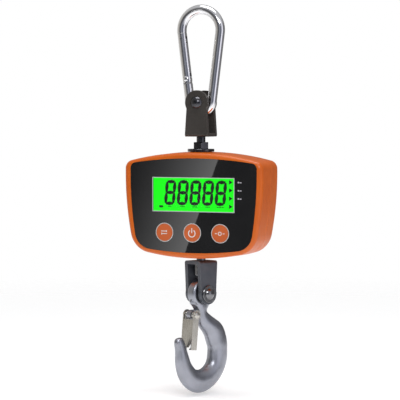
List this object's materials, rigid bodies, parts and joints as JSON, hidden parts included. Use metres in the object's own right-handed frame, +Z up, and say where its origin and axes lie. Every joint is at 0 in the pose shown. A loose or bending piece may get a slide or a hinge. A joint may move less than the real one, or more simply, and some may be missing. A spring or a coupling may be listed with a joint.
{
  "type": "electronic crane scale",
  "caption": "Hanging electronic scale: snap-gate lifting ring, pinned clevis, bowed case with lit display and keys, swivel clevis, and a hook with a sprung latch.",
  "frame": {"origin": "inner crown of the lifting ring, where a crane's hook bears", "axes": "+Z up along the load line; -Y is the display side; +X is the display's right-hand side"},
  "size_m": [0.134, 0.0566, 0.3495],
  "materials": {
    "ring_steel": "polished steel, fine scratches",
    "spring_steel": "bright spring wire",
    "upper_bracket": "satin black coating",
    "black_hardware": "black oxide",
    "orange_case": "fine-grained moulded plastic",
    "black_panel": "gloss black",
    "clear_window": "clear gloss",
    "display_green": "lit green display",
    "black_plastic": "matt black",
    "key_orange": "satin orange",
    "circuit_board": "green solder mask",
    "components": "mixed electronic parts",
    "screw_steel": "zinc plated",
    "cell_steel": "machined alloy steel",
    "gauge_foil": "amber film",
    "lead_jacket": "flexible jacket",
    "battery_skin": "plain printed sleeve",
    "lower_bracket": "slate-grey coating",
    "pin_steel": "dark plated steel",
    "hook_steel": "satin forged, grey finish",
    "latch_steel": "dull zinc plate"
  },
  "bodies": {
    "lifting_ring": {"ring_body": "ring_steel", "gate_rivet": "ring_steel"},
    "ring_gate": {"ring_gate": "ring_steel", "gate_nose_pin": "ring_steel", "gate_spring": "spring_steel"},
    "scale_head": {"upper_clevis": "upper_bracket", "upper_pin": "black_hardware", "upper_pin_washer": "black_hardware", "upper_pin_clip": "black_hardware", "suspension_bolt": "black_hardware", "top_nut": "black_hardware", "top_washer": "black_hardware", "front_shell": "orange_case", "rear_shell": "orange_case", "housing_screws": "screw_steel", "front_panel": "black_panel", "display_window": "clear_window", "display_glass": "display_green", "display_backlight": "display_green", "display_holder": "black_plastic", "contact_strips": "black_plastic", "main_board": "circuit_board", "board_screws": "screw_steel", "board_components": "components", "push_switches": "black_plastic", "load_cell": "cell_steel", "cell_screws": "screw_steel", "strain_gauges": "gauge_foil", "gauge_covers": "cell_steel", "load_cell_lead": "lead_jacket", "battery_lead": "lead_jacket", "battery_tray": "black_plastic", "batteries": "battery_skin", "battery_contacts": "spring_steel", "battery_springs": "spring_steel", "lower_nut": "black_hardware", "swivel_bolt": "pin_steel", "thrust_washer": "pin_steel"},
    "unit_key": {"unit_key": "key_orange", "unit_plunger": "black_plastic"},
    "power_key": {"power_key": "key_orange", "power_plunger": "black_plastic"},
    "tare_key": {"tare_key": "key_orange", "tare_plunger": "black_plastic"},
    "battery_door": {"battery_door": "orange_case"},
    "lower_clevis": {"lower_clevis": "lower_bracket", "lower_pin": "pin_steel", "lower_pin_washer": "pin_steel"},
    "hook": {"hook": "hook_steel", "latch_rivet": "latch_steel"},
    "latch": {"latch": "latch_steel", "latch_spring": "spring_steel"}
  },
  "joints": [
    {"name": "ring_swing", "type": "hinge", "parent": "lifting_ring", "child": "scale_head", "pos_m": [0, 0, -0.0791], "axis": [0, 1, 0], "range_deg": [-90, 90]},
    {"name": "gate_open", "type": "hinge", "parent": "lifting_ring", "child": "ring_gate", "pos_m": [-0.01325, 0, -0.05785], "axis": [0, 1, 0], "range_deg": [0, 38], "stiffness_Nm_per_rad": 0.02, "springref_deg": -28.65},
    {"name": "unit_press", "type": "slide", "parent": "scale_head", "child": "unit_key", "axis": [0, 1, 0], "range_m": [0, 0.0006], "stiffness_N_per_m": 400, "springref_m": -0.002},
    {"name": "power_press", "type": "slide", "parent": "scale_head", "child": "power_key", "axis": [0, 1, 0], "range_m": [0, 0.0006], "stiffness_N_per_m": 400, "springref_m": -0.002},
    {"name": "tare_press", "type": "slide", "parent": "scale_head", "child": "tare_key", "axis": [0, 1, 0], "range_m": [0, 0.0006], "stiffness_N_per_m": 400, "springref_m": -0.002},
    {"name": "battery_door_pull", "type": "slide", "parent": "scale_head", "child": "battery_door", "axis": [0, 1, 0], "range_m": [0, 0.015]},
    {"name": "hook_swivel", "type": "hinge", "parent": "scale_head", "child": "lower_clevis", "pos_m": [0, 0, -0.2212], "axis": [0, 0, 1], "continuous": true},
    {"name": "hook_swing", "type": "hinge", "parent": "lower_clevis", "child": "hook", "pos_m": [0, 0, -0.2508], "axis": [0.9063, -0.4226, 0], "range_deg": [-80, 80]},
    {"name": "latch_open", "type": "hinge", "parent": "hook", "child": "latch", "pos_m": [-0.00473, -0.01015, -0.2695], "axis": [0.9063, -0.4226, 0], "range_deg": [0, 44], "stiffness_Nm_per_rad": 0.01, "springref_deg": -34.38}
  ]
}
